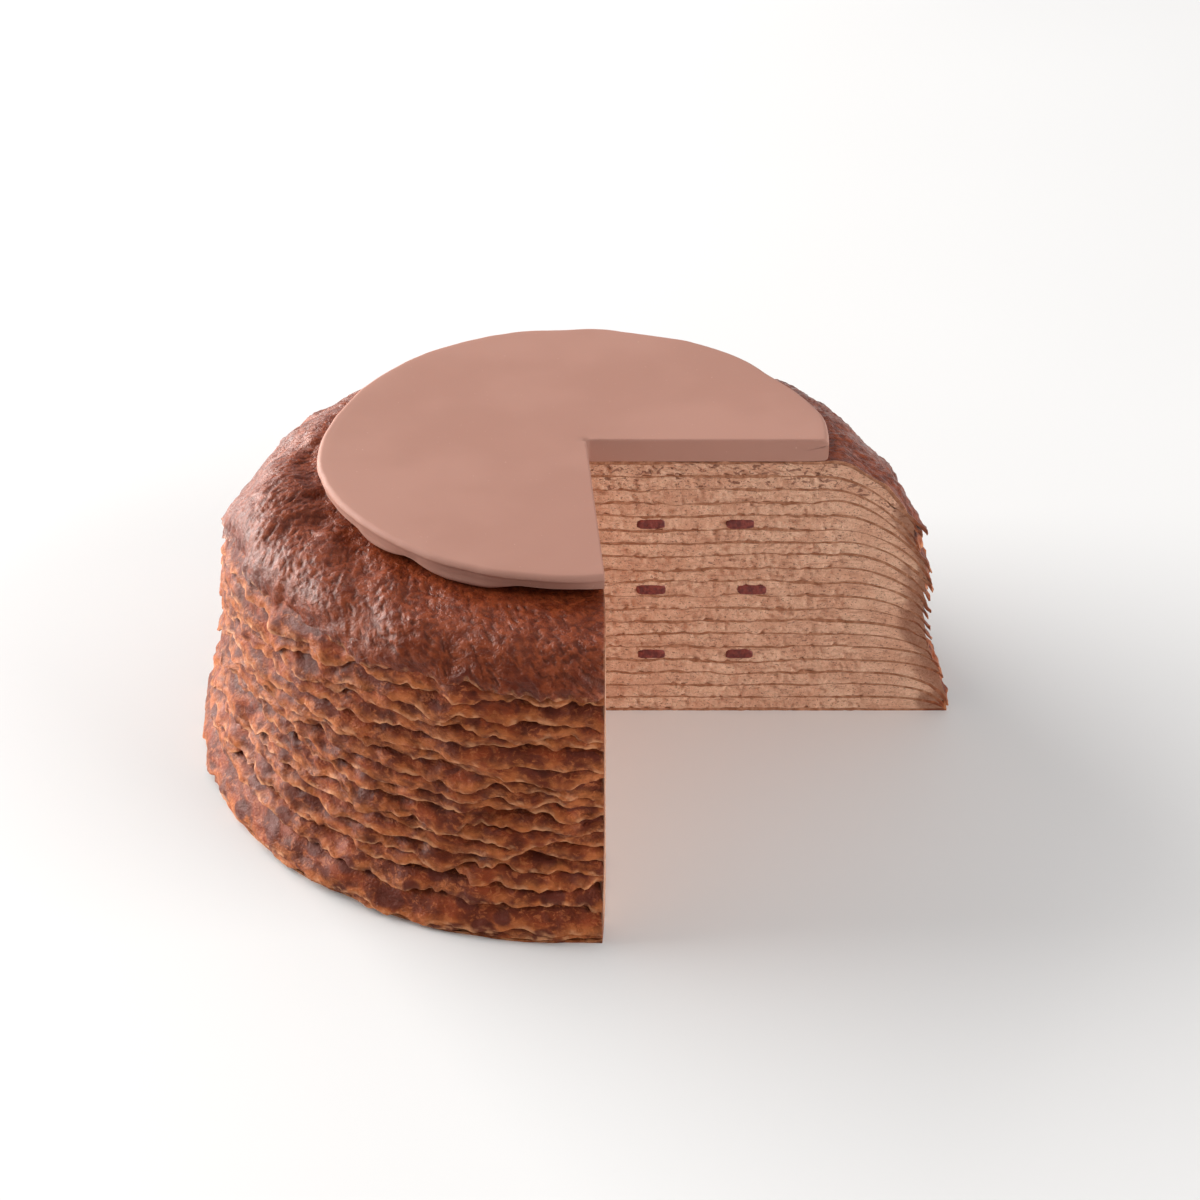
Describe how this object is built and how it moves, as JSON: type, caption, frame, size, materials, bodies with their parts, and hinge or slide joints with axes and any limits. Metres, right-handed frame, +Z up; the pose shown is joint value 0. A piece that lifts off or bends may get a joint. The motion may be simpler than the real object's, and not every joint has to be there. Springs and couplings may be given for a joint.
{
  "type": "crepe cake",
  "caption": "Round chocolate crepe cake of stacked crepes and cream with fruit jelly rings and a chocolate disc on top, one quarter cut out.",
  "frame": {"origin": "on the cake's axis, at the middle of the box's footprint, on the surface that the cake stands on", "axes": "+Z up through the stack; the missing quarter opens towards +X and -Y, its back cut runs along +X and its front cut close to -Y"},
  "size_m": [0.1506, 0.1514, 0.0631],
  "materials": {
    "crepe": "moist baked crepe skin, reddish brown with paler worn edges, semi-matte with soft highlights",
    "cream": "matte whipped chocolate cream, fine pores",
    "fruit_jelly": "dark red set fruit jelly, moist",
    "chocolate": "smooth satin milk chocolate with a soft sheen"
  },
  "bodies": {
    "root": {"crepe_01": "crepe", "crepe_02": "crepe", "crepe_03": "crepe", "crepe_04": "crepe", "crepe_05": "crepe", "crepe_06": "crepe", "crepe_07": "crepe", "crepe_08": "crepe", "crepe_09": "crepe", "crepe_10": "crepe", "crepe_11": "crepe", "crepe_12": "crepe", "crepe_13": "crepe", "crepe_14": "crepe", "crepe_15": "crepe", "crepe_16": "crepe", "crepe_17": "crepe", "crepe_18": "crepe", "crepe_19": "crepe", "crepe_20": "crepe", "cream_01": "cream", "cream_02": "cream", "cream_03": "cream", "cream_04": "cream", "cream_05": "cream", "cream_06": "cream", "cream_07": "cream", "cream_08": "cream", "cream_09": "cream", "cream_10": "cream", "cream_11": "cream", "cream_12": "cream", "cream_13": "cream", "cream_14": "cream", "cream_15": "cream", "cream_16": "cream", "cream_17": "cream", "cream_18": "cream", "cream_19": "cream", "fruit_ring_low_inner": "fruit_jelly", "fruit_ring_low_outer": "fruit_jelly", "fruit_ring_middle_inner": "fruit_jelly", "fruit_ring_middle_outer": "fruit_jelly", "fruit_ring_high_inner": "fruit_jelly", "fruit_ring_high_outer": "fruit_jelly", "chocolate_disc": "chocolate"}
  },
  "joints": []
}
